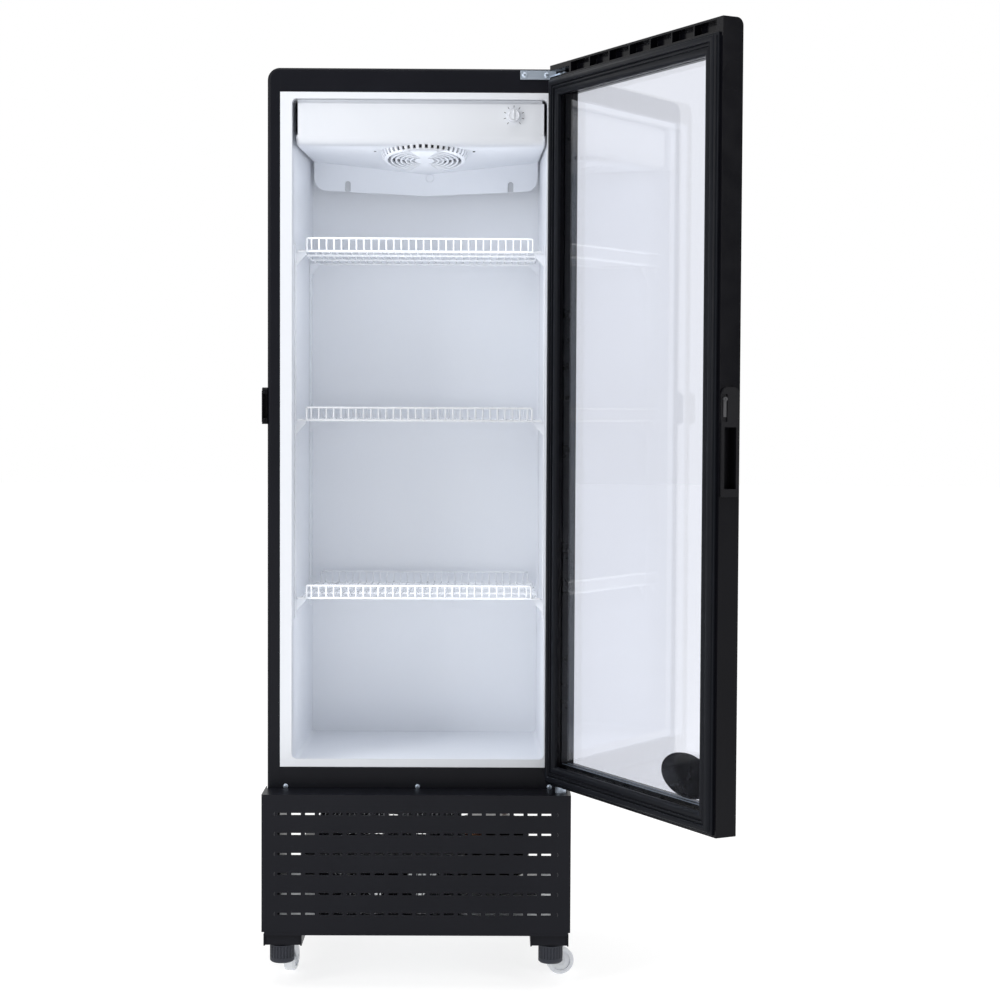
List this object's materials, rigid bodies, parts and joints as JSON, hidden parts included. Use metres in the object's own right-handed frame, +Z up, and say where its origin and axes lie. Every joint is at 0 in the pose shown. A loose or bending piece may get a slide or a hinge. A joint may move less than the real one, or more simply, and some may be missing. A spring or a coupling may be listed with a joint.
{
  "type": "glass door merchandiser",
  "caption": "Upright display refrigerator with a hinged glass door, wire shelves, a fan-cooled white cavity, a slotted base panel and casters.",
  "frame": {"origin": "on the floor, under the middle of the cabinet's front plane", "axes": "+Z up, +X to the right when facing the door, +Y from the front to the back"},
  "size_m": [0.9106, 1.1087, 1.873],
  "materials": {
    "black_steel": "satin black powder coat",
    "white_liner": "smooth white liner",
    "white_plastic": "smooth white moulding",
    "foam": null,
    "galvanised": "galvanised sheet",
    "foot_plastic": "knurled nylon, matt",
    "coil_aluminium": "finned coil",
    "dark_plastic": "moulded",
    "white_wire": "white coated wire",
    "white_metal": "white coated steel",
    "zinc": "bright zinc plate",
    "black_plastic": "moulded, satin",
    "compressor_black": "black enamel",
    "rubber_black": "moulded rubber",
    "copper": "drawn copper tube",
    "door_black": "satin gloss black extrusion",
    "glass": "clear toughened",
    "spacer_aluminium": "spacer bar",
    "gasket_rubber": "soft extruded seal",
    "badge_black": "plain oval badge",
    "nylon": "nylon bush",
    "caster_grey": "moulded nylon",
    "wheel_clear": "translucent polyurethane"
  },
  "bodies": {
    "cabinet": {"outer_wrap": "black_steel", "front_top_band": "black_steel", "back_panel": "black_steel", "lower_front_rail": "black_steel", "inner_liner": "white_liner", "insulation_foam": "foam", "box_bottom_sheet": "galvanised", "evaporator_cover": "white_plastic", "evaporator_fan_grille": "white_plastic", "evaporator_fan_motor": "dark_plastic", "evaporator_coil": "coil_aluminium", "thermostat_body": "white_plastic", "shelf_top": "white_wire", "shelf_middle": "white_wire", "shelf_lower": "white_wire", "shelf_standards": "white_metal", "shelf_clips": "white_metal", "top_hinge_plate": "zinc", "top_hinge_pin": "zinc", "bottom_hinge_bracket": "zinc", "bottom_hinge_pin": "zinc", "screws": "zinc", "lock_keeper": "black_plastic", "base_grille_panel": "black_steel", "chassis_tray": "galvanised", "undercarriage_channels": "black_steel", "caster_plates": "zinc", "compressor": "compressor_black", "compressor_grommets": "rubber_black", "condenser_coil": "coil_aluminium", "condenser_fan_shroud": "galvanised", "condenser_fan_motor": "dark_plastic", "refrigerant_lines": "copper", "electrical_box": "dark_plastic"},
    "door": {"door_top_rail": "door_black", "door_bottom_rail": "door_black", "door_hinge_stile": "door_black", "door_handle_stile": "door_black", "outer_glass": "glass", "inner_glass": "glass", "spacer_bars": "spacer_aluminium", "glazing_bead": "door_black", "door_gasket": "gasket_rubber", "door_badge": "badge_black", "handle_housing": "black_plastic", "hinge_bushes": "nylon"},
    "lock": {"lock_cylinder": "zinc"},
    "thermostat_knob_body": {"thermostat_knob": "white_plastic"},
    "evaporator_fan": {"evaporator_fan_blade": "dark_plastic"},
    "condenser_fan": {"condenser_fan_blade": "dark_plastic"},
    "caster_fork_front_left_body": {"caster_fork_front_left": "caster_grey"},
    "caster_wheel_front_left_body": {"caster_wheel_front_left": "wheel_clear"},
    "caster_fork_front_right_body": {"caster_fork_front_right": "caster_grey"},
    "caster_wheel_front_right_body": {"caster_wheel_front_right": "wheel_clear"},
    "caster_fork_rear_left_body": {"caster_fork_rear_left": "caster_grey"},
    "caster_wheel_rear_left_body": {"caster_wheel_rear_left": "wheel_clear"},
    "caster_fork_rear_right_body": {"caster_fork_rear_right": "caster_grey"},
    "caster_wheel_rear_right_body": {"caster_wheel_rear_right": "wheel_clear"},
    "levelling_foot_left_body": {"levelling_foot_left": "foot_plastic"},
    "levelling_foot_right_body": {"levelling_foot_right": "foot_plastic"}
  },
  "joints": [
    {"name": "door_hinge", "type": "hinge", "parent": "cabinet", "child": "door", "pos_m": [0.294, -0.039, 1], "axis": [0, 0, 1], "range_deg": [-117.7, 0]},
    {"name": "lock_turn", "type": "hinge", "parent": "door", "child": "lock", "pos_m": [0.56009, -0.58239, 1.2], "axis": [-0.4648, 0.8854, 0], "range_deg": [0, 90]},
    {"name": "thermostat_turn", "type": "hinge", "parent": "cabinet", "child": "thermostat_knob_body", "pos_m": [0.192, 0, 1.7785], "axis": [0, -1, 0], "range_deg": [0, 280]},
    {"name": "evaporator_fan_spin", "type": "hinge", "parent": "cabinet", "child": "evaporator_fan", "pos_m": [0.007, 0.1, 1.713], "axis": [0, 0.165, 0.9863], "continuous": true},
    {"name": "condenser_fan_spin", "type": "hinge", "parent": "cabinet", "child": "condenser_fan", "pos_m": [-0.055, 0.048, 0.2335], "axis": [0, 1, 0], "continuous": true},
    {"name": "caster_swivel_front_left", "type": "hinge", "parent": "cabinet", "child": "caster_fork_front_left_body", "pos_m": [-0.271, 0.045, 0.09], "axis": [0, 0, 1], "continuous": true},
    {"name": "caster_roll_front_left", "type": "hinge", "parent": "caster_fork_front_left_body", "child": "caster_wheel_front_left_body", "pos_m": [-0.26631, 0.07159, 0.0285], "axis": [-0.9848, 0.1736, 0], "continuous": true},
    {"name": "caster_swivel_front_right", "type": "hinge", "parent": "cabinet", "child": "caster_fork_front_right_body", "pos_m": [0.271, 0.045, 0.09], "axis": [0, 0, 1], "continuous": true},
    {"name": "caster_roll_front_right", "type": "hinge", "parent": "caster_fork_front_right_body", "child": "caster_wheel_front_right_body", "pos_m": [0.29741, 0.05061, 0.0285], "axis": [-0.2079, 0.9781, 0], "continuous": true},
    {"name": "caster_swivel_rear_left", "type": "hinge", "parent": "cabinet", "child": "caster_fork_rear_left_body", "pos_m": [-0.271, 0.44, 0.09], "axis": [0, 0, 1], "continuous": true},
    {"name": "caster_roll_rear_left", "type": "hinge", "parent": "caster_fork_rear_left_body", "child": "caster_wheel_rear_left_body", "pos_m": [-0.26177, 0.46537, 0.0285], "axis": [-0.9397, 0.342, 0], "continuous": true},
    {"name": "caster_swivel_rear_right", "type": "hinge", "parent": "cabinet", "child": "caster_fork_rear_right_body", "pos_m": [0.271, 0.44, 0.09], "axis": [0, 0, 1], "continuous": true},
    {"name": "caster_roll_rear_right", "type": "hinge", "parent": "caster_fork_rear_right_body", "child": "caster_wheel_rear_right_body", "pos_m": [0.2575, 0.46338, 0.0285], "axis": [-0.866, -0.5, 0], "continuous": true},
    {"name": "levelling_foot_left_height", "type": "slide", "parent": "cabinet", "child": "levelling_foot_left_body", "axis": [0, 0, 1], "range_m": [-0.04, 0]},
    {"name": "levelling_foot_right_height", "type": "slide", "parent": "cabinet", "child": "levelling_foot_right_body", "axis": [0, 0, 1], "range_m": [-0.04, 0]}
  ]
}
